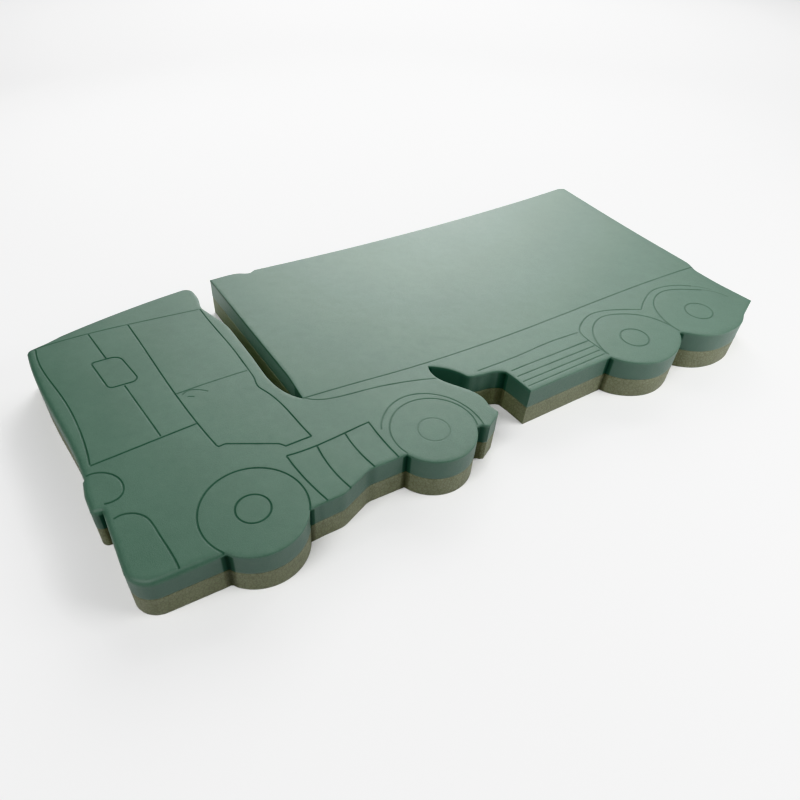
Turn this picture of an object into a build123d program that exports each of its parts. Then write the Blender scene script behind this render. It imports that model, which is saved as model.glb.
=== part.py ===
from build123d import *
import os

os.makedirs("parts", exist_ok=True)

# A florist's flat tribute base cut to the side view of an articulated lorry.
# Floral foam is glued face down on a rigid polystyrene board of the same outline,
# and guide lines for the flowers are pressed into the foam's top face.
#
# X runs along the lorry from its nose (-) to its tail (+), and Y from its wheels (-) to its
# roof (+). Z is up, with 0 on the table. The origin is the middle of the outline's box.

# Slab thicknesses, in millimetres
BOARD_THICKNESS = 29.6
GLUE_THICKNESS = 0.4
FOAM_THICKNESS = 30.0

# Guide lines
LINE_WIDTH = 2.2
LINE_DEPTH = 1.4
SOFT_DEPTH = 0.8
FAINT_DEPTH = 0.4

# Overall outline
NOSE_X = -487
TAIL_X = 487
ROOF_Y = 252
WHEEL_FOOT_Y = -252

# Cab
CAB_TOP_FRONT = (-486.5, 198)
CAB_ROOF_MIDDLE = (-371, 227)
CAB_TOP_REAR = (-243, 246)
CAB_SHOULDER = (-244.5, 186)
CAB_FOREHEAD = (NOSE_X, 158)
CAB_BROW = (-480, 72)
CAB_GRILLE = (-471, -1)
CAB_CHIN = (-468, -60)
LAMP_FRONT_X = -472.5
LAMP_TOP_Y = -64
LAMP_FOOT_Y = -119
BUMPER_FRONT_X = -460
BUMPER_FOOT_Y = -230

# Corner radii
CAB_FRONT_RADIUS = 9
CAB_REAR_RADIUS = 14
BUMPER_RADIUS = 28
AXLE_STEP_RADIUS = 10
TANK_RADIUS = 24
FLAP_RADIUS = 3
SKIRT_RADIUS = 3
TAIL_STEP_RADIUS = 8
BOX_TOP_RADIUS = 5

# Slot between the cab and the trailer
SLOT_MOUTH_REAR = (-210, 251.5)
SLOT_WAIST_REAR = (-197, 0)
SLOT_END = (-198, -57)

# Wheels: centre of the tyre and its radius
FRONT_RADIUS = 59.5
FRONT_WHEEL = (-318, WHEEL_FOOT_Y + FRONT_RADIUS)
DRIVE_WHEEL = (-83, -179)
DRIVE_RADIUS = 52.5
DRIVE_TYRE = (-82, -178)
DRIVE_TYRE_RADIUS = 53
FRONT_HUB = (-318, -190.5)
MIDDLE_HUB = (264, -156)
REAR_HUB = (394.5, -152)
HUB_RADIUS = 19.3

# Chassis and trailer
TANK_TOP_Y = -135.5
FLAP_TIP = (5, -191)
NOTCH_TIP = (-25, -77)
NOTCH_MOUTH = (9, -116.5)
SKIRT_FRONT_X = 64
SKIRT_FOOT_Y = -178
SIDE_GUARD_REAR_X = 201
BED_LINE_Y = -66


def corner(point):
    """The sketch vertex nearest to a point."""
    return vertices().sort_by_distance(point)[0]


def cab_shape():
    with BuildLine() as path:
        ThreePointArc(CAB_TOP_FRONT, CAB_ROOF_MIDDLE, CAB_TOP_REAR)
        Polyline(CAB_TOP_REAR, (-241.5, 215), CAB_SHOULDER)
        Spline(
            CAB_SHOULDER, (-236, 158), (-228.5, 132), (-225.5, 98), (-222.5, 38), (-218.5, -18),
            (-209.5, -42), SLOT_END,
        )
        Polyline(SLOT_END, (-198, -110), (BUMPER_FRONT_X, -110), CAB_CHIN)
        Spline(CAB_CHIN, CAB_GRILLE, CAB_BROW, CAB_FOREHEAD, CAB_TOP_FRONT)
    make_face(path.edges())
    fillet(corner(CAB_TOP_FRONT), radius=CAB_FRONT_RADIUS)
    fillet(corner(CAB_TOP_REAR), radius=CAB_REAR_RADIUS)


def lamp_shape():
    with BuildLine() as path:
        FilletPolyline(
            (-440, LAMP_TOP_Y), (LAMP_FRONT_X + 3, LAMP_TOP_Y), (LAMP_FRONT_X, -88),
            (LAMP_FRONT_X + 1, LAMP_FOOT_Y), (-440, LAMP_FOOT_Y),
            radius=[0, 5, 30, 8, 0], close=True,
        )
    make_face(path.edges())


def tractor_shape():
    """The cab's foot, bumper, tank and drive axle, back to the mud flap."""
    with BuildLine() as path:
        FilletPolyline(
            (-196, -60), (BUMPER_FRONT_X, -60), (BUMPER_FRONT_X, BUMPER_FOOT_Y),
            (-330, BUMPER_FOOT_Y), (-300, -222), (-252, -218), (-222, -217), (-181, -198.5),
            (-28, -199), (-20.5, -205.5), FLAP_TIP, (2, -172),
            radius=[
                0, BUMPER_RADIUS, 0, 0, AXLE_STEP_RADIUS, TANK_RADIUS, TANK_RADIUS, 0, FLAP_RADIUS,
                FLAP_RADIUS,
            ],
        )
        Spline((2, -172), (-5, -138), (-26, -104), NOTCH_TIP)
        Line(NOTCH_TIP, (-196, -60))
    make_face(path.edges())


def trailer_shape():
    """The box, the side skirt and the tail, with a small nick near the box's top front."""
    with BuildLine() as path:
        Polyline(SLOT_END, SLOT_WAIST_REAR, SLOT_MOUTH_REAR, (-166, 250), (-147, 243), (-137, 247.5))
        ThreePointArc((-137, 247.5), (161, 238), (476, ROOF_Y))
        Polyline(
            (476, ROOF_Y), (486, 247), (484, 60), (486, -45), (479, -72), (480, -105),
            (TAIL_X, -169), (430, -195), (391, -178), (204, -172.5), (SKIRT_FRONT_X, SKIRT_FOOT_Y),
            (62, -152), (59, -131), (45, -125), (25, -122), NOTCH_MOUTH,
        )
        ThreePointArc(NOTCH_MOUTH, (-1, -98), NOTCH_TIP)
        Polyline(NOTCH_TIP, (-45, -90), (-198, -90), SLOT_END)
    make_face(path.edges())
    fillet(corner((59, -131)), radius=SKIRT_RADIUS)
    fillet(corner((479, -72)), radius=TAIL_STEP_RADIUS)
    fillet(corner((476, ROOF_Y)), radius=BOX_TOP_RADIUS)


def wheel_shape(centre, radius):
    with Locations(centre):
        Circle(radius)


def tyre_foot(centre, *points):
    """The foot of a bogie tyre, cut a little flat, with its hub's centre."""
    with BuildLine() as path:
        Spline(*points)
        Polyline(points[-1], centre, points[0])
    make_face(path.edges())


def lorry_outline():
    cab_shape()
    lamp_shape()
    tractor_shape()
    trailer_shape()
    wheel_shape(FRONT_WHEEL, FRONT_RADIUS)
    wheel_shape(DRIVE_WHEEL, DRIVE_RADIUS)
    tyre_foot(
        MIDDLE_HUB, (203, -170), (212, -186), (226, -198.5), (241, -206.5), (263, -211),
        (286, -207.5), (306, -198.5), (321, -187), (330.5, -174),
    )
    tyre_foot(
        REAR_HUB, (331, -175), (343, -187), (356, -197), (370, -203), (388, -206.3), (410, -205.3),
        (430, -199.5), (447, -188.5), (462, -179),
    )


def line_through(*points):
    """A straight-sided guide line."""
    with BuildLine() as path:
        Polyline(*points)
    trace(path.edges(), line_width=LINE_WIDTH)


def curve_through(*points):
    """A smoothly bent guide line."""
    with BuildLine() as path:
        Spline(*points)
    trace(path.edges(), line_width=LINE_WIDTH)


def tyre_line(centre, radius, start, sweep):
    """A tyre's rim where it crosses the foam, anticlockwise from start, in degrees."""
    with BuildLine() as path:
        CenterArc(centre, radius, start, sweep)
    trace(path.edges(), line_width=LINE_WIDTH)


def hub_line(centre):
    with Locations(centre):
        Circle(HUB_RADIUS + LINE_WIDTH / 2)
        Circle(HUB_RADIUS - LINE_WIDTH / 2, mode=Mode.SUBTRACT)


def cab_lines():
    """The cab's front edge, pillar, side window and belt line."""
    curve_through((-475, 194), (-476, 165), (-462, 81), (-455, 5), (-457, -48))
    line_through((-405, 197), (-396, 133))
    with BuildLine() as path:
        FilletPolyline(
            (-416, 132), (-379, 131), (-368, 70), (-407, 71), radius=[4, 14, 8, 8], close=True
        )
    trace(path.edges(), line_width=LINE_WIDTH)
    curve_through((-388, 68), (-379, 1), (-373.5, -41))
    curve_through((-457, -50), (-398, -45.5), (-329, -40))
    curve_through((-464, -63), (-447.5, -66), (-432.5, -85), (-433.5, -103.5), (-456, -111.5))


def door_lines():
    curve_through((-351, 194), (-343, 101), (-335, 11), (-321, -85))
    line_through((-321, -85), (-319, -88), (-309, -88), (-257, -115), (-250, -123), (-217, -122))
    curve_through((-249, 184), (-245.5, 137), (-240, 80), (-238, 40), (-237, 8))
    line_through((-237, 8), (-238.5, -13), (-235, -22))
    curve_through((-235, -22), (-228.5, -42), (-221.7, -85), (-217, -122))


def shallow_cab_lines():
    """The cab's roof line, and the door's sill and handle."""
    curve_through((-480, 196), (-408, 198), (-348, 194), (-251, 184))
    curve_through((-336, 22), (-288, 24), (-239, 24))
    curve_through((-329, 17), (-318, 21), (-306, 16), (-298, 9))
    line_through((-324, 11), (-316, 7))


def front_lines():
    curve_through(
        (-452, -136), (-436, -136), (-422, -148), (-417, -166), (-414, -188), (-411, -209),
        (-410, -226),
    )
    tyre_line(FRONT_WHEEL, FRONT_RADIUS, -28, 246)
    hub_line(FRONT_HUB)


def tank_lines():
    curve_through((-256, -137.5), (-225, -139), (-179, TANK_TOP_Y), (-145, -132.5))
    curve_through((-256, -138), (-253, -170), (-249.5, -190), (-243, -217))
    curve_through((-218, -138), (-219.5, -170), (-213, -213))
    curve_through((-180, TANK_TOP_Y), (-179.7, -168), (-174.5, -198))
    curve_through((-146, -133), (-146, -160), (-143, -198))


def drive_wheel_lines():
    tyre_line(DRIVE_TYRE, DRIVE_TYRE_RADIUS, -22, 224)
    curve_through(
        (-138.5, -150.5), (-117.5, -125.5), (-88, -114), (-60, -119.5), (-37, -139.5), (-25, -168),
        (-25.5, -200),
    )


def chassis_lines():
    curve_through(
        (-198, -58), (-131, -62.5), (-60, -68), (30, -71.5), (130, -71), (250, BED_LINE_Y), (483, -62)
    )
    curve_through((-197, -57), (-181, -69.5), (-155, -76.3), (-110, -81.5), (-68, -90), (-30, -102))


def side_guard_lines():
    """Five near-level rails that close up towards the skirt's foot."""
    line_through((27, -115), (95, -114), (150, -110), (SIDE_GUARD_REAR_X, -111))
    for front_y, rear_y in [(-135, -132), (-148, -144.5), (-159.5, -155), (-169.5, -164)]:
        line_through((66, front_y), (SIDE_GUARD_REAR_X, rear_y))


def bogie_lines():
    curve_through((203, -166), (202, -135), (205, -111), (220.5, -97), (246, -86.5), (290, -95), (322, -111))
    curve_through((322, -111), (337, -100), (357, -88.5), (378, -81.5), (396, -82), (417, -88), (436, -100))
    curve_through(
        (205, -168), (206, -152), (217, -125), (232, -109), (260, -98.5), (288, -106), (311, -122),
        (326, -146), (331, -174),
    )
    curve_through(
        (332, -174), (331, -152), (340, -122), (351, -107), (369, -95), (385, -91), (415, -99),
        (442, -115),
    )
    hub_line(MIDDLE_HUB)
    hub_line(REAR_HUB)


def faint_lines():
    """The drive wheel's hub and the tail end of the bogie's lines, hardly pressed in."""
    hub_line(DRIVE_WHEEL)
    curve_through((436, -100), (447, -110), (456, -121))
    curve_through((442, -115), (455, -128), (463, -146))


# Rigid backing board
with BuildPart() as backing_board:
    with BuildSketch(Plane.XY):
        lorry_outline()
    extrude(amount=BOARD_THICKNESS)

# Film of glue between the board and the foam
with BuildPart() as glue_film:
    with BuildSketch(Plane.XY.offset(BOARD_THICKNESS)):
        lorry_outline()
    extrude(amount=GLUE_THICKNESS)

# Floral foam, with its guide lines
FOAM_BASE_Z = BOARD_THICKNESS + GLUE_THICKNESS
FOAM_TOP_Z = FOAM_BASE_Z + FOAM_THICKNESS
with BuildPart() as floral_foam:
    with BuildSketch(Plane.XY.offset(FOAM_BASE_Z)):
        lorry_outline()
    extrude(amount=FOAM_THICKNESS)
    with BuildSketch(Plane.XY.offset(FOAM_TOP_Z)):
        cab_lines()
        door_lines()
        front_lines()
        tank_lines()
    extrude(amount=-LINE_DEPTH, mode=Mode.SUBTRACT)
    with BuildSketch(Plane.XY.offset(FOAM_TOP_Z)):
        shallow_cab_lines()
        drive_wheel_lines()
        chassis_lines()
        side_guard_lines()
        bogie_lines()
    extrude(amount=-SOFT_DEPTH, mode=Mode.SUBTRACT)
    with BuildSketch(Plane.XY.offset(FOAM_TOP_Z)):
        faint_lines()
    extrude(amount=-FAINT_DEPTH, mode=Mode.SUBTRACT)

floral_foam.part.label = "floral_foam"
glue_film.part.label = "glue_film"
backing_board.part.label = "backing_board"
export_step(floral_foam.part, "parts/floral_foam.step")
export_step(glue_film.part, "parts/glue_film.step")
export_step(backing_board.part, "parts/backing_board.step")

for piece in (floral_foam, glue_film, backing_board):
    box = piece.part.bounding_box()
    print(piece.part.label, len(piece.part.solids()), "solid", round(piece.part.volume / 1000), "cm3")
    print("  from", [round(v, 2) for v in box.min], "to", [round(v, 2) for v in box.max])
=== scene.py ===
import math

import bpy
import numpy as np
from mathutils import Euler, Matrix, Vector, kdtree, noise
from mathutils.bvhtree import BVHTree
from mathutils.geometry import delaunay_2d_cdt


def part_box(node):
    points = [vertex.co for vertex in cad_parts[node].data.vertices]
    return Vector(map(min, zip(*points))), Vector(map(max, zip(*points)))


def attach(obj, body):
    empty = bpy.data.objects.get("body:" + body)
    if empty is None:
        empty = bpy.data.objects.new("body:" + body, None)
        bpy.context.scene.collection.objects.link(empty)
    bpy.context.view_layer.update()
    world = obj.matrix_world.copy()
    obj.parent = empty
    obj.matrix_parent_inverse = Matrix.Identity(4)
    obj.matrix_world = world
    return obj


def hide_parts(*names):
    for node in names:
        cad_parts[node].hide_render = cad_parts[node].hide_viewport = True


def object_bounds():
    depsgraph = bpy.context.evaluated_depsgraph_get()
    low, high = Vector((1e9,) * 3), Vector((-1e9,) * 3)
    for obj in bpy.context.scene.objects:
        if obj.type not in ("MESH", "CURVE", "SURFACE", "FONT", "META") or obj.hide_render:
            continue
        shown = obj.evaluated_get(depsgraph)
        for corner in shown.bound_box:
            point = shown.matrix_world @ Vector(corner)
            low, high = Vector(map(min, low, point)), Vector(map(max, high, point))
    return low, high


# A florist's flat tribute base: green floral foam cut to the side view of an articulated lorry,
# glued on a rigid polystyrene board, with guide lines pressed into the foam's top face.
# Everything is in metres, in the CAD frame: X nose to tail, Y wheels to roof, Z up, table at 0.

MM = 0.001

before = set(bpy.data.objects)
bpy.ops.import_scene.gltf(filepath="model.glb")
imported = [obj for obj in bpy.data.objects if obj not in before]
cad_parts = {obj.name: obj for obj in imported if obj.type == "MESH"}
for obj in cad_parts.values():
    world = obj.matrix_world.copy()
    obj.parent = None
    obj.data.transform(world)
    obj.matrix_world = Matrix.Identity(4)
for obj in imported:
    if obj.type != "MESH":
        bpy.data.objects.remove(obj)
CAD_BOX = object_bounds()

# Heights, from the frame
BOARD_FOOT, BOARD_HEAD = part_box("backing_board")[0].z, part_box("backing_board")[1].z
FOAM_FOOT, FOAM_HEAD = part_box("floral_foam")[0].z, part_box("floral_foam")[1].z
SAME_HEIGHT = 0.02 * MM

# Mesh density
OUTLINE_STEP = 2.0 * MM
LINE_STEP = 1.8 * MM
FOAM_GRID = 4.0 * MM
BOARD_GRID = 8.0 * MM
GRID_SHAKE = 0.14
SHARP_TURN = math.radians(50)

# Edges of the foam: crisp where the wire cut it, worn round at the nose and the bumper
CRISP_RADIUS = 1.3 * MM
ROOF_RADIUS = 2.6 * MM
WORN_RADIUS = 5.5 * MM

# Where that wear starts and is full, as distances from the middle toward the nose, wheels or roof
NOSE_WEAR = (435 * MM, 460 * MM)
BUMPER_FOOT_WEAR = (205 * MM, 222 * MM)
BUMPER_WEAR = (352 * MM, 385 * MM)
ROOF_WEAR = (120 * MM, 190 * MM)
CAB_WEAR = (200 * MM, 260 * MM)

# Turns round the foam's top edge at which it has a ring of mesh points
EDGE_ANGLES = [math.radians(a) for a in (20, 40, 62, 90)]

# Guide lines: a soft V whose sides run from its middle to a lip outside the CAD groove's edge.
# Distances are from that edge, less than 0 inside it. Each ring of mesh points beside a line has
# its distance, and whether its points are linked by mesh edges.
LINE_MIDDLE = -1.1 * MM
LINE_LIP = 0.4 * MM
LINE_RINGS = [(-0.75 * MM, True), (-0.2 * MM, True), (LINE_LIP, True), (0.9 * MM, False)]
SOFT_SHARE, SOFT_CHANGE = 0.55, 0.12
# Painted shade in the guide lines: full at the first distance from the groove's edge, gone at the second
GROOVE_SHADE_MIDDLE, GROOVE_SHADE_LIP = -0.55 * MM, 0.7 * MM
FULL_DEPTH = 1.4 * MM

# Unevenness of the foam's top face: half the height, the width and the seed of each size of lump
FOAM_LUMPS = [(0.16 * MM, 70 * MM, 1), (0.07 * MM, 11 * MM, 2), (0.05 * MM, 4.3 * MM, 3)]

# Walls
FOAM_ROWS = 8
BOARD_ROWS = 8
SEAM_CHAMFER = 0.4 * MM
BOARD_SETBACK = 0.35 * MM

# Inside corners: the turn in radians that counts as tight, and how many points the shade spreads
TIGHT_TURN = 0.45
CREASE_REACH = 2

# Box round the slot between the cab and the trailer, whose cut faces get painted light. It reaches
# a little too far: a strip of the trailer's roof wall beside the slot's mouth lies in it too, and gets that
# painted light as well.
SLOT_LOW, SLOT_HIGH = (-252 * MM, -30 * MM), (-190 * MM, 262 * MM)

# Studio, in metres
FLOOR_SIZE = 14.0
SLAB_MIDDLE = Vector((0, 0, 0.03))
FAR, NEAR = 2.6, 1.3
BIG, SMALL = 1.4, 0.8
FILL_STRENGTH = 0.13


# ---------------------------------------------------------------- shapes read from the frame

def flat_triangles(node, height, facing):
    """Corners of the node's triangles that lie flat at a height, as anticlockwise 2-D points."""
    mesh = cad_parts[node].data
    found = []
    for face in mesh.polygons:
        corners = [mesh.vertices[i].co for i in face.vertices]
        level = all(abs(c.z - height) < SAME_HEIGHT for c in corners)
        if level and face.normal.z * facing > 0.99:
            found.append([(c.x, c.y) for c in corners[::facing]])
    return found


def line_heights():
    """Heights of the floors of the guide lines, deepest first."""
    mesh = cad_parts["floral_foam"].data
    heights = set()
    for face in mesh.polygons:
        z = face.center.z
        if face.normal.z > 0.99 and z < FOAM_HEAD - SAME_HEIGHT:
            heights.add(round(z, 5))
    return sorted(heights)


def loops_round(triangles):
    """Closed loops round a flat region given by its triangles, with the region on their left."""
    name = lambda p: (round(p[0] / MM, 3), round(p[1] / MM, 3))
    place = {name(p): p for t in triangles for p in t}
    edges = {(name(t[i]), name(t[(i + 1) % 3])) for t in triangles for i in range(3)}
    after = {}
    for a, b in edges:
        if (b, a) not in edges and a != b:
            after.setdefault(a, []).append(b)
    for ends in after.values():
        ends.sort()
    loops = []
    for first in sorted(after):
        while after[first]:
            loop = [first]
            here = after[first].pop()
            while here != first:
                loop.append(here)
                here = after[here].pop()
            loops.append(np.array([place[n] for n in loop]))
    return loops


def unit(v):
    return v / np.maximum(np.linalg.norm(v, axis=-1, keepdims=True), 1e-12)


def faired(loop, step):
    """The loop as smooth curves again, evenly spaced, with its true corners kept."""
    chord = np.roll(loop, -1, 0) - loop
    length = np.linalg.norm(chord, axis=1)
    ahead = unit(chord)
    behind, last = np.roll(ahead, 1, 0), np.roll(length, 1)
    turn = np.arccos(np.clip((ahead * behind).sum(1), -1, 1))
    smooth = unit(behind * length[:, None] + ahead * last[:, None])
    smooth = np.where((last > 3 * length)[:, None], behind, smooth)
    smooth = np.where((length > 3 * last)[:, None], ahead, smooth)
    sharp = (turn > SHARP_TURN)[:, None]
    leave, arrive = np.where(sharp, ahead, smooth), np.where(sharp, behind, smooth)
    points = []
    for i in range(len(loop)):
        j = (i + 1) % len(loop)
        if length[i] < 0.4 * step and not sharp[i] and points:
            continue
        n = max(1, round(length[i] / step))
        t = (np.arange(n) / n)[:, None]
        a, b = leave[i] * length[i], arrive[j] * length[i]
        points.append(
            (2 * t**3 - 3 * t**2 + 1) * loop[i] + (t**3 - 2 * t**2 + t) * a
            + (3 * t**2 - 2 * t**3) * loop[j] + (t**3 - t**2) * b
        )
    return np.concatenate(points)


def outward(loop):
    """The direction at each point of a loop that points out of its region, longer at corners."""
    ahead = unit(np.roll(loop, -1, 0) - loop)
    behind = np.roll(ahead, 1, 0)
    middle = unit(ahead + behind)
    normal = np.stack([middle[:, 1], -middle[:, 0]], 1)
    stretch = 1 / np.maximum((middle * ahead).sum(1), 0.6)
    return normal * stretch[:, None]


def creases(loop):
    """How tight an inside corner each point of a loop is in, from 0 to 1, fading over its neighbours."""
    ahead = unit(np.roll(loop, -1, 0) - loop)
    behind = np.roll(ahead, 1, 0)
    turn = behind[:, 0] * ahead[:, 1] - behind[:, 1] * ahead[:, 0]
    tight = np.clip(-turn / TIGHT_TURN, 0, 1)
    for _ in range(CREASE_REACH):
        tight = np.maximum(tight, 0.7 * np.maximum(np.roll(tight, 1), np.roll(tight, -1)))
    return tight


class Region:
    """A flat region bounded by loops: how far a point is from its edge, and whether it is inside."""

    def __init__(self, loops):
        self.loops = loops
        self.start = np.concatenate(loops)
        self.end = np.concatenate([np.roll(p, -1, 0) for p in loops])
        self.tree = kdtree.KDTree(len(self.start))
        for i, (a, b) in enumerate(zip(self.start, self.end)):
            self.tree.insert((*(a + b) / 2, 0), i)
        self.tree.balance()
        points, faces = triangulated(loops)
        centres = points[faces].mean(1)
        faces = faces[self.crossings(centres) % 2 == 1]
        flat = [(x, y, 0) for x, y in points]
        self.sheet = BVHTree.FromPolygons(flat, [tuple(f) for f in faces.tolist()])

    def crossings(self, points):
        """How many boundary segments lie straight to the right of each point."""
        count = np.zeros(len(points), int)
        for first in range(0, len(points), 1000):
            x, y = points[first:first + 1000, None, 0], points[first:first + 1000, None, 1]
            (ax, ay), (bx, by) = self.start.T, self.end.T
            spans = (ay > y) != (by > y)
            with np.errstate(divide="ignore", invalid="ignore"):
                at = ax + (y - ay) / (by - ay) * (bx - ax)
            count[first:first + 1000] = (spans & (at > x)).sum(1)
        return count

    def distance(self, points):
        """How far each point is from the nearest edge, on either side of it."""
        near = np.array([[i for _, i, _ in self.tree.find_n((x, y, 0), 6)] for x, y in points])
        a, b = self.start[near], self.end[near]
        along = b - a
        from_a = points[:, None] - a
        t = (from_a * along).sum(2) / np.maximum((along**2).sum(2), 1e-18)
        off = from_a - np.clip(t, 0, 1)[:, :, None] * along
        return np.sqrt((off**2).sum(2).min(1))

    def inside(self, points):
        down = Vector((0, 0, -1))
        return np.array([self.sheet.ray_cast(Vector((x, y, 1)), down)[0] is not None for x, y in points])


def triangulated(loops, extra=()):
    """Delaunay triangles over closed loops, kept as edges, with open chains and loose points."""
    points, edges = [], []
    for loop in loops:
        n = len(points)
        points += [Vector(p) for p in loop.tolist()]
        edges += [(n + i, n + (i + 1) % len(loop)) for i in range(len(loop))]
    for chain, linked in extra:
        n = len(points)
        points += [Vector(p) for p in chain.tolist()]
        edges += [(n + i, n + i + 1) for i in range(len(chain) - 1) if linked[i]]
    made = delaunay_2d_cdt(points, edges, [], 0, 1e-7, False)
    return np.array([tuple(p) for p in made[0]]), np.array([tuple(f) for f in made[2]])


# ---------------------------------------------------------------- small helpers

def ramp(value, low, high):
    """0 at low, 1 at high, smooth between."""
    t = np.clip((value - low) / (high - low), 0, 1)
    return t * t * (3 - 2 * t)


def rough(points, size, seed):
    """Smooth noise from -1 to 1 over 2-D or 3-D points, with lumps of about a size."""
    shift = Vector((seed * 17.3, seed * 5.1, seed * 9.7))
    padded = points if points.shape[1] == 3 else np.c_[points, np.zeros(len(points))]
    return np.array([noise.noise(Vector(p) / size + shift) for p in padded.tolist()])


def in_slot(points):
    """1 for points of the slot between the cab and the trailer, whose cut faces are tinted paler.

    The tint makes up for light that the slot gets in the photograph and not from these lights.
    """
    x, y = points[:, 0], points[:, 1]
    across = (x > SLOT_LOW[0]) & (x < SLOT_HIGH[0])
    return (across & (y > SLOT_LOW[1]) & (y < SLOT_HIGH[1])).astype(float)


def mesh_object(name, points, faces):
    """A smooth-shaded piece from its points and faces."""
    mesh = bpy.data.meshes.new(name)
    mesh.from_pydata(np.clip(points, CAD_BOX[0], CAD_BOX[1]).tolist(), [], faces)
    mesh.validate()
    mesh.update()
    mesh.shade_smooth()
    mesh.set_sharp_from_angle(angle=math.radians(48))
    piece = bpy.data.objects.new(name, mesh)
    bpy.context.scene.collection.objects.link(piece)
    return piece


def store(piece, name, values):
    """A number for each point of a piece, for its material to read."""
    attribute = piece.data.attributes.new(name, "FLOAT", "POINT")
    attribute.data.foreach_set("value", np.asarray(values, np.float32))


def walls(rows):
    """Faces between rows of points that run round a piece, the first row on top."""
    faces = []
    for upper, lower in zip(rows, rows[1:]):
        n = len(upper)
        for i in range(n):
            j = (i + 1) % n
            faces.append((upper[i], lower[i], lower[j], upper[j]))
    return faces


def edge_loop(faces):
    """Indices round the one outer edge of a set of triangles, the region on the left."""
    edges = {(f[i], f[(i + 1) % 3]) for f in faces for i in range(3)}
    after = {a: b for a, b in edges if (b, a) not in edges}
    first = min(after)
    loop = [first]
    while after[loop[-1]] != first:
        loop.append(after[loop[-1]])
    return loop


# ---------------------------------------------------------------- floral foam

def edge_radius(points):
    """How round the foam's top edge is near each point."""
    x, y = points[:, 0], points[:, 1]
    nose = ramp(-x, *NOSE_WEAR)
    foot = ramp(-y, *BUMPER_FOOT_WEAR) * ramp(-x, *BUMPER_WEAR)
    roof = ramp(y, *ROOF_WEAR) * ramp(-x, *CAB_WEAR)
    radius = CRISP_RADIUS + (ROOF_RADIUS - CRISP_RADIUS) * roof
    return radius + (WORN_RADIUS - radius) * np.maximum(nose, foot)


def chain_of(loop, keep):
    """A loop's kept points as an open chain, and which of them link to the next."""
    start = int(np.argmin(keep)) if not keep.all() else 0
    order = np.roll(np.arange(len(loop)), -start)
    kept = [i for i in order if keep[i]]
    linked = [b == (a + 1) % len(loop) for a, b in zip(kept, kept[1:])]
    return loop[kept], linked


def hexagonal_grid(step, seed):
    """Points over the whole CAD box on a slightly shaken triangular grid."""
    low, high = CAD_BOX
    rows = int((high.y - low.y) / (step * math.sqrt(0.75)))
    columns = int((high.x - low.x) / step)
    r, c = np.meshgrid(np.arange(rows), np.arange(columns), indexing="ij")
    x = low.x + (c + 0.5 * (r % 2)) * step
    y = low.y + r * step * math.sqrt(0.75)
    shake = np.random.default_rng(seed).uniform(-GRID_SHAKE, GRID_SHAKE, (rows * columns, 2)) * step
    return np.stack([x.ravel(), y.ravel()], 1) + shake


def top_height(points, outline, lines):
    """Height of the foam's top face, and the guide lines' painted shade on it, at each point."""
    radius = edge_radius(points)
    reach = np.clip(radius - outline.distance(points), 0, radius)
    fall = radius - np.sqrt(np.maximum(radius**2 - reach**2, 0))
    press, groove_shade = np.zeros(len(points)), np.zeros(len(points))
    for height, region in lines:
        gap = region.distance(points) * np.where(region.inside(points), -1, 1)
        depth = (FOAM_HEAD - height) * (SOFT_SHARE + SOFT_CHANGE * rough(points, 26 * MM, 12))
        press = np.maximum(press, depth * (1 - ramp(gap, LINE_MIDDLE, LINE_LIP)))
        # Painted shade, scaled by the line's depth, from its middle out past its lip
        groove_shade = np.maximum(groove_shade, depth / FULL_DEPTH * (1 - ramp(gap, GROOVE_SHADE_MIDDLE, GROOVE_SHADE_LIP)))
    lumps = sum(half * (1 + rough(points, width, seed)) for half, width, seed in FOAM_LUMPS)
    return FOAM_HEAD - fall - press - lumps, groove_shade


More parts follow.
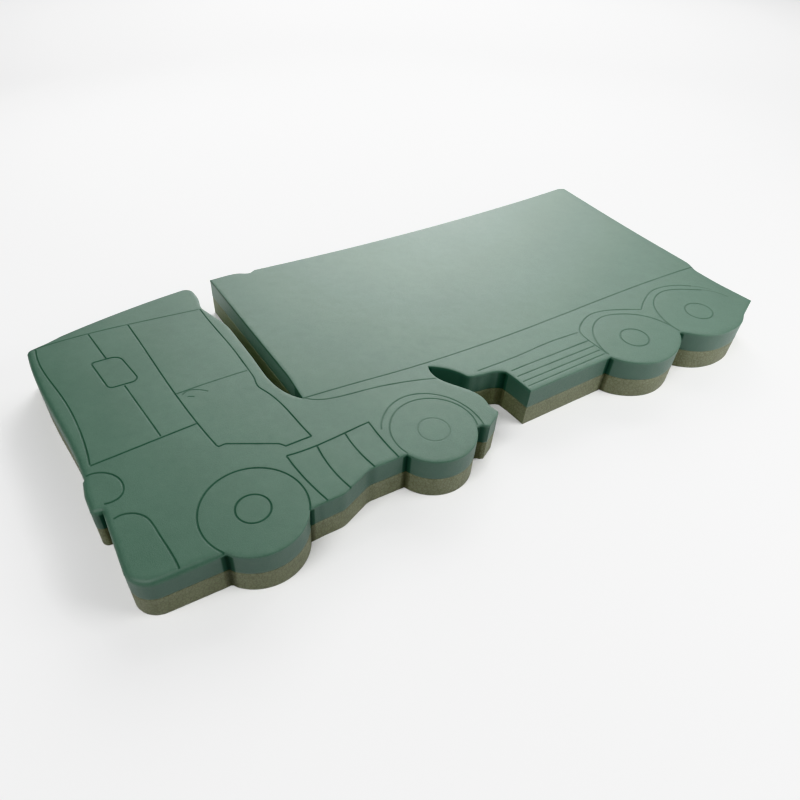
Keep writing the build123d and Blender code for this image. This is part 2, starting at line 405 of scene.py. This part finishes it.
def foam_slab(outline, lines):
    """The foam, with its top face pressed and worn, its cut walls and its flat underside."""
    contour = outline.loops[0]
    out = outward(contour)
    radius = edge_radius(contour)
    extra = []
    for angle in EDGE_ANGLES:
        inset = radius * (1 - math.cos(angle))
        ring = contour - out * inset[:, None]
        keep = outline.inside(ring) & (outline.distance(ring) > 0.8 * inset)
        extra.append(chain_of(ring, keep))
    for _, region in lines:
        for gap, linked in LINE_RINGS:
            for loop in region.loops:
                ring = loop + outward(loop) * gap
                keep = (region.distance(ring) > 0.75 * abs(gap)) & outline.inside(ring)
                keep &= outline.distance(ring) > 0.35 * MM
                keep &= region.inside(ring) == (gap < 0)
                if not keep.any():
                    continue
                chain, links = chain_of(ring, keep)
                extra.append((chain, links if linked else [False] * len(links)))
    grid = hexagonal_grid(FOAM_GRID, 5)
    grid = grid[outline.inside(grid)]
    grid = grid[outline.distance(grid) > edge_radius(grid) + 0.45 * FOAM_GRID]
    for _, region in lines:
        grid = grid[~region.inside(grid)]
        grid = grid[region.distance(grid) > GROOVE_SHADE_LIP + 0.4 * FOAM_GRID]
    extra.append((grid, [False] * (len(grid) - 1)))
    flat, faces = triangulated([contour], extra)
    faces = faces[outline.inside(flat[faces].mean(1))]
    height, pressed = top_height(flat, outline, lines)
    top = np.c_[flat, height]

    loop = edge_loop(faces.tolist())
    rim = top[loop]
    away = outward(rim[:, :2])
    crease_shade = creases(rim[:, :2])
    rows, points, cut, tight = [loop], [top], [np.zeros(len(top))], [np.zeros(len(top))]
    count = len(top)
    for k in range(1, FOAM_ROWS + 1):
        share = k / FOAM_ROWS
        z = rim[:, 2] + (FOAM_FOOT + SEAM_CHAMFER - rim[:, 2]) * share
        inset = 0.10 * MM * (1 + rough(np.c_[rim[:, :2], z], 9 * MM, 4))
        inset += 0.08 * MM * (1 + rough(np.c_[rim[:, :2], z * 2], 3.5 * MM, 6))
        rows.append(list(range(count, count + len(rim))))
        points.append(np.c_[rim[:, :2] - away * inset[:, None], z])
        count += len(rim)
        cut.append(np.full(len(rim), 1.0))
        tight.append(crease_shade)
    foot = np.c_[rim[:, :2] - away * SEAM_CHAMFER, np.full(len(rim), FOAM_FOOT)]
    rows.append(list(range(count, count + len(rim))))
    points.append(foot)
    cut.append(np.full(len(rim), 1.0))
    tight.append(crease_shade)
    under = closing_faces(foot[:, :2], rows[-1])
    points, cut = np.concatenate(points), np.concatenate(cut)
    piece = mesh_object("foam_slab", points, faces.tolist() + walls(rows) + under)
    # pressed: the guide lines' painted shade on the top face, none on the walls and underside
    store(piece, "pressed", np.concatenate([pressed, np.zeros(count + len(rim) - len(top))]))
    store(piece, "cut", cut)
    # Painted light on the slot's cut faces
    store(piece, "slot_painted_light", cut * in_slot(points))
    # Painted shade in the walls' inside corners
    store(piece, "crease_shade", np.concatenate(tight))
    return piece


def closing_faces(loop, names, facing=-1):
    """Triangles across a flat loop of points, facing down or up."""
    points, faces = triangulated([loop])
    region = Region([loop])
    faces = faces[region.inside(points[faces].mean(1))]
    faces = faces[(faces < len(loop)).all(1)]
    return [tuple(names[i] for i in f)[::facing] for f in faces.tolist()]


# ---------------------------------------------------------------- backing board and glue

def board_slab(outline):
    """The polystyrene board, set back a little from the foam's outline."""
    contour = outline.loops[0]
    away = outward(contour)
    levels = [
        (BOARD_HEAD, SEAM_CHAMFER), (BOARD_HEAD - SEAM_CHAMFER, 0),
        *[(BOARD_HEAD + (BOARD_FOOT - BOARD_HEAD) * k / BOARD_ROWS, 0) for k in range(1, BOARD_ROWS)],
        (BOARD_FOOT + SEAM_CHAMFER, 0), (BOARD_FOOT, SEAM_CHAMFER),
    ]
    rows, points, count = [], [], 0
    for z, chamfer in levels:
        at = np.c_[contour, np.full(len(contour), z)]
        inset = BOARD_SETBACK + chamfer + 0.12 * MM * rough(at, 7 * MM, 7) + 0.1 * MM * rough(at, 3 * MM, 8)
        points.append(np.c_[contour - away * inset[:, None], at[:, 2]])
        rows.append(list(range(count, count + len(contour))))
        count += len(contour)
    head = closing_faces(points[0][:, :2], rows[0], 1)
    grid = hexagonal_grid(BOARD_GRID, 9)
    grid = grid[outline.inside(grid)]
    grid = grid[outline.distance(grid) > BOARD_SETBACK + SEAM_CHAMFER + 0.5 * BOARD_GRID]
    flat, faces = triangulated([points[-1][:, :2]], [(grid, [False] * (len(grid) - 1))])
    inner = Region([points[-1][:, :2]])
    faces = faces[inner.inside(flat[faces].mean(1))]
    n = len(contour)
    dimple = 0.12 * MM * (1 + rough(grid, 23 * MM, 10))
    points.append(np.c_[grid, BOARD_FOOT + dimple])
    under = [tuple(rows[-1][i] if i < n else count + i - n for i in f)[::-1] for f in faces.tolist()]
    points = np.concatenate(points)
    piece = mesh_object("polystyrene_board", points, head + walls(rows) + under)
    below = np.zeros(len(contour) + len(grid))
    # Painted shade in the walls' inside corners, none on the underside
    store(piece, "crease_shade", np.concatenate([*[creases(contour)] * (len(levels) - 1), below]))
    # Painted light on the slot's cut faces
    store(piece, "slot_painted_light", np.concatenate([in_slot(points[:-len(below)]), below]))
    return piece


def glue_bead(outline):
    """The glue film with the rounded, uneven rim that it squeezed out to in the seam."""
    contour = outline.loops[0]
    away = outward(contour)
    reach = BOARD_SETBACK + (0.75 + 0.35 * rough(contour, 16 * MM, 11)) * MM
    middle = (FOAM_FOOT + BOARD_HEAD) / 2
    swell = 0.28 * MM
    profile = [
        (0.9 * MM, FOAM_FOOT), (0.25 * MM, FOAM_FOOT + 0.3 * swell), (0.05 * MM, middle + 0.4 * swell),
        (0.05 * MM, middle - 0.4 * swell), (0.25 * MM, BOARD_HEAD - 0.3 * swell), (0.9 * MM, BOARD_HEAD),
    ]
    rows, points, count = [], [], 0
    for inset, z in profile:
        points.append(np.c_[contour - away * (reach + inset)[:, None], np.full(len(contour), z)])
        rows.append(list(range(count, count + len(contour))))
        count += len(contour)
    head = closing_faces(points[0][:, :2], rows[0], 1)
    under = closing_faces(points[-1][:, :2], rows[-1], -1)
    return mesh_object("glue_bead", np.concatenate(points), head + walls(rows) + under)


# ---------------------------------------------------------------- materials

class Nodes:
    """Short calls for building a node material."""

    def __init__(self, name):
        self.material = bpy.data.materials.new(name)
        self.material.use_nodes = True
        self.tree = self.material.node_tree
        self.shader = self.tree.nodes["Principled BSDF"]
        self.place = self.add("ShaderNodeTexCoord").outputs["Object"]

    def add(self, kind, inputs=None, **settings):
        node = self.tree.nodes.new(kind)
        for name, value in settings.items():
            setattr(node, name, value)
        for name, value in (inputs or {}).items():
            self.put(value, node.inputs[name])
        return node

    def put(self, value, socket):
        if isinstance(value, bpy.types.NodeSocket):
            self.tree.links.new(value, socket)
        else:
            socket.default_value = value

    def noise(self, size, detail=2.0, rough=0.5, stretch=None):
        """Noise from 0 to 1 with lumps of about a size in metres."""
        place = self.place
        if stretch:
            place = self.add("ShaderNodeMapping", {"Vector": place, "Scale": stretch}).outputs[0]
        made = self.add("ShaderNodeTexNoise", {
            "Vector": place, "Scale": 1 / size, "Detail": detail, "Roughness": rough,
        })
        return made.outputs["Fac"]

    def cells(self, size, feature="F1", output="Distance"):
        made = self.add("ShaderNodeTexVoronoi", {"Vector": self.place, "Scale": 1 / size}, feature=feature)
        return made.outputs[output]

    def math(self, operation, a, b=0.0, c=0.0):
        node = self.add("ShaderNodeMath", operation=operation)
        for i, value in enumerate((a, b, c)):
            self.put(value, node.inputs[i])
        return node.outputs[0]

    def span(self, value, low, high, to_low=0.0, to_high=1.0):
        """Maps a stretch of values to another, with clamped ends."""
        node = self.add("ShaderNodeMapRange", {
            "Value": value, "From Min": low, "From Max": high, "To Min": to_low, "To Max": to_high,
        })
        return node.outputs[0]

    def blend(self, share, a, b, kind="MIX"):
        node = self.add("ShaderNodeMix", data_type="RGBA", blend_type=kind, clamp_factor=True)
        self.put(share, node.inputs["Factor"])
        self.put(a, node.inputs["A"])
        self.put(b, node.inputs["B"])
        return node.outputs["Result"]

    def read(self, name):
        return self.add("ShaderNodeAttribute", attribute_name=name).outputs["Fac"]

    def bump(self, height, depth, strength=1.0, under=None):
        node = self.add("ShaderNodeBump", {"Height": height, "Distance": depth, "Strength": strength})
        if under is not None:
            self.put(under, node.inputs["Normal"])
        return node.outputs["Normal"]


def colour(red, green, blue, alpha=1.0):
    """A linear colour from its 0-255 screen values."""
    linear = lambda v: v / 12.92 if v <= 0.04045 else ((v + 0.055) / 1.055) ** 2.4
    return (linear(red / 255), linear(green / 255), linear(blue / 255), alpha)


def foam_material():
    n = Nodes("floral foam")
    pores = n.cells(0.9 * MM)
    grains = n.noise(0.45 * MM, 2.0, 0.6)
    mottle = n.noise(14 * MM, 4.0, 0.6)
    drift = n.noise(130 * MM, 2.0, 0.5)
    pressed = n.read("pressed")
    cut = n.read("cut")
    base = n.blend(n.span(drift, 0.35, 0.65), colour(69, 97, 82), colour(75, 103, 88))
    base = n.blend(n.span(mottle, 0.3, 0.7, 0.0, 0.4), base, colour(62, 89, 75))
    base = n.blend(n.span(pores, 0.25, 0.75, 0.0, 0.28), base, colour(48, 69, 58))
    base = n.blend(n.span(grains, 0.4, 0.75, 0.0, 0.25), base, colour(95, 119, 106))
    base = n.blend(n.math("MULTIPLY", cut, 0.6), base, colour(70, 88, 80))
    # Painted light: the slot's cut faces are made paler, standing in for light that the lamps don't bring
    # in
    base = n.blend(n.read("slot_painted_light"), base, colour(108, 130, 119))
    # Painted shade in inside corners
    base = n.blend(n.math("MULTIPLY", n.read("crease_shade"), 0.85), base, colour(16, 26, 21))
    # Painted shade in the guide lines' grooves, darkest in their middles
    base = n.blend(n.span(pressed, 0.0, 0.9, 0.0, 0.56), base, colour(26, 31, 28))
    n.put(base, n.shader.inputs["Base Color"])
    n.put(n.span(grains, 0.3, 0.7, 0.45, 0.55), n.shader.inputs["Roughness"])
    matt = n.math("MAXIMUM", pressed, n.read("crease_shade"))
    n.put(n.span(matt, 0.0, 0.45, 0.5, 0.08), n.shader.inputs["Specular IOR Level"])
    height = n.math("MULTIPLY_ADD", pores, -0.7, n.math("MULTIPLY", grains, 0.5))
    fine = n.bump(height, 0.25 * MM, 0.5)
    n.put(n.bump(mottle, 0.5 * MM, 0.35, fine), n.shader.inputs["Normal"])
    return n.material


def board_material():
    n = Nodes("polystyrene board")
    bead = n.cells(4.2 * MM, "F1", "Color")
    seam = n.cells(4.2 * MM, "DISTANCE_TO_EDGE", "Distance")
    grains = n.noise(0.8 * MM, 2.0, 0.6)
    mottle = n.noise(20 * MM, 3.0, 0.6)
    shade = n.add("ShaderNodeSeparateColor", {"Color": bead}).outputs[0]
    base = n.blend(n.span(mottle, 0.3, 0.7), colour(104, 108, 87), colour(114, 118, 96))
    base = n.blend(n.span(shade, 0.0, 1.0, 0.0, 0.35), base, colour(88, 91, 72))
    base = n.blend(n.span(seam, 0.02, 0.12, 0.4, 0.0), base, colour(64, 66, 50))
    # Painted light: the slot's cut faces are made paler, standing in for light that the lamps don't bring
    # in
    base = n.blend(n.read("slot_painted_light"), base, colour(128, 136, 114))
    # Painted shade in inside corners
    base = n.blend(n.math("MULTIPLY", n.read("crease_shade"), 0.8), base, colour(24, 25, 17))
    base = n.blend(n.span(grains, 0.4, 0.75, 0.0, 0.2), base, colour(132, 135, 113))
    n.put(base, n.shader.inputs["Base Color"])
    n.put(n.span(grains, 0.3, 0.7, 0.6, 0.78), n.shader.inputs["Roughness"])
    coarse = n.bump(n.span(seam, 0.0, 0.2), 0.35 * MM, 0.6)
    n.put(n.bump(grains, 0.15 * MM, 0.4, coarse), n.shader.inputs["Normal"])
    return n.material


def glue_material():
    n = Nodes("cured glue")
    strings = n.noise(3 * MM, 3.0, 0.6, (1, 1, 4))
    base = n.blend(n.span(strings, 0.35, 0.65), colour(62, 61, 45), colour(46, 46, 34))
    n.put(base, n.shader.inputs["Base Color"])
    n.put(n.span(strings, 0.3, 0.7, 0.35, 0.6), n.shader.inputs["Roughness"])
    n.put(n.bump(strings, 0.2 * MM, 0.5), n.shader.inputs["Normal"])
    return n.material


def floor_material():
    n = Nodes("pale paper")
    tooth = n.noise(1.5 * MM, 2.0, 0.5)
    n.shader.inputs["Base Color"].default_value = colour(239, 239, 239)
    n.shader.inputs["Roughness"].default_value = 0.9
    n.shader.inputs["Specular IOR Level"].default_value = 0.2
    n.put(n.bump(tooth, 0.05 * MM, 0.3), n.shader.inputs["Normal"])
    return n.material


# ---------------------------------------------------------------- build

board_loops = loops_round(flat_triangles("backing_board", BOARD_FOOT, -1))
outline = Region([faired(max(board_loops, key=len), OUTLINE_STEP)])
lines = []
for height in line_heights():
    rounds = loops_round(flat_triangles("floral_foam", height, 1))
    lines.append((height, Region([faired(loop, LINE_STEP) for loop in rounds])))

foam = foam_slab(outline, lines)
board = board_slab(outline)
glue = glue_bead(outline)

for piece, node, slot, finish in (
    (foam, "floral_foam", "floral_foam", foam_material()),
    (board, "backing_board", "backing", board_material()),
    (glue, "glue_film", "adhesive", glue_material()),
):
    piece.data.materials.append(finish)
    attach(piece, "root")
    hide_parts(node)


# ---------------------------------------------------------------- floor, light and camera

def floor(size):
    mesh = bpy.data.meshes.new("floor")
    half = size / 2
    corners = [(-half, -half, 0), (half, -half, 0), (half, half, 0), (-half, half, 0)]
    mesh.from_pydata(corners, [], [(0, 1, 2, 3)])
    made = bpy.data.objects.new("floor", mesh)
    bpy.context.scene.collection.objects.link(made)
    mesh.materials.append(floor_material())


def softbox(name, place, target, size, watts, spread=180):
    """A square area light, unseen by the camera."""
    light = bpy.data.lights.new(name, "AREA")
    light.shape = "SQUARE"
    light.size = size
    light.energy = watts
    light.spread = math.radians(spread)
    made = bpy.data.objects.new(name, light)
    made.location = place
    made.rotation_euler = (Vector(place) - Vector(target)).to_track_quat("Z", "Y").to_euler()
    made.visible_camera = False
    bpy.context.scene.collection.objects.link(made)


def round_slab(azimuth, elevation, distance):
    """A place that far from the middle of the slab, its azimuth measured from the tail."""
    turn, lift = math.radians(azimuth), math.radians(elevation)
    toward = Vector((math.cos(turn) * math.cos(lift), math.sin(turn) * math.cos(lift), math.sin(lift)))
    return SLAB_MIDDLE + toward * distance


floor(FLOOR_SIZE)
softbox("roof side low", round_slab(60, 18, FAR), SLAB_MIDDLE, BIG, 26)
softbox("roof side high", round_slab(60, 35, FAR), SLAB_MIDDLE, BIG, 16)
softbox("tail side", round_slab(30, 35, FAR), SLAB_MIDDLE, BIG, 15)
softbox("wheel side", round_slab(212, 55, FAR), SLAB_MIDDLE, BIG, 37)
softbox("nose side", round_slab(180, 30, FAR), SLAB_MIDDLE, BIG, 9)
softbox("near tail", round_slab(45, 30, NEAR), SLAB_MIDDLE, SMALL, 4.5)
softbox("near roof", round_slab(90, 30, NEAR), SLAB_MIDDLE, SMALL, 4.5)
softbox("near wheels", round_slab(315, 30, NEAR), SLAB_MIDDLE, SMALL, 12)
softbox("far floor left", (-0.2, 2.9, 2.0), (-0.2, 2.7, 0), BIG, 7, 90)
softbox("far floor right", (2.6, 1.9, 2.0), (2.5, 1.8, 0), BIG, 7, 90)

world = bpy.data.worlds.new("studio")
bpy.context.scene.world = world
world.use_nodes = True
world.node_tree.nodes["Background"].inputs["Color"].default_value = (1, 1, 1, 1)
world.node_tree.nodes["Background"].inputs["Strength"].default_value = FILL_STRENGTH
bpy.context.scene.view_settings.view_transform = "Khronos PBR Neutral"

camera = bpy.data.cameras.new("camera")
camera.sensor_width = 36
camera.lens = 30.17
camera.shift_x, camera.shift_y = 0.0619, 0.0257
camera_object = bpy.data.objects.new("camera", camera)
camera_object.location = (-0.4397, -0.6276, 0.6225)
camera_object.rotation_euler = Euler([math.radians(a) for a in (45.75, -0.54, -28.0)])
bpy.context.scene.collection.objects.link(camera_object)
bpy.context.scene.camera = camera_object
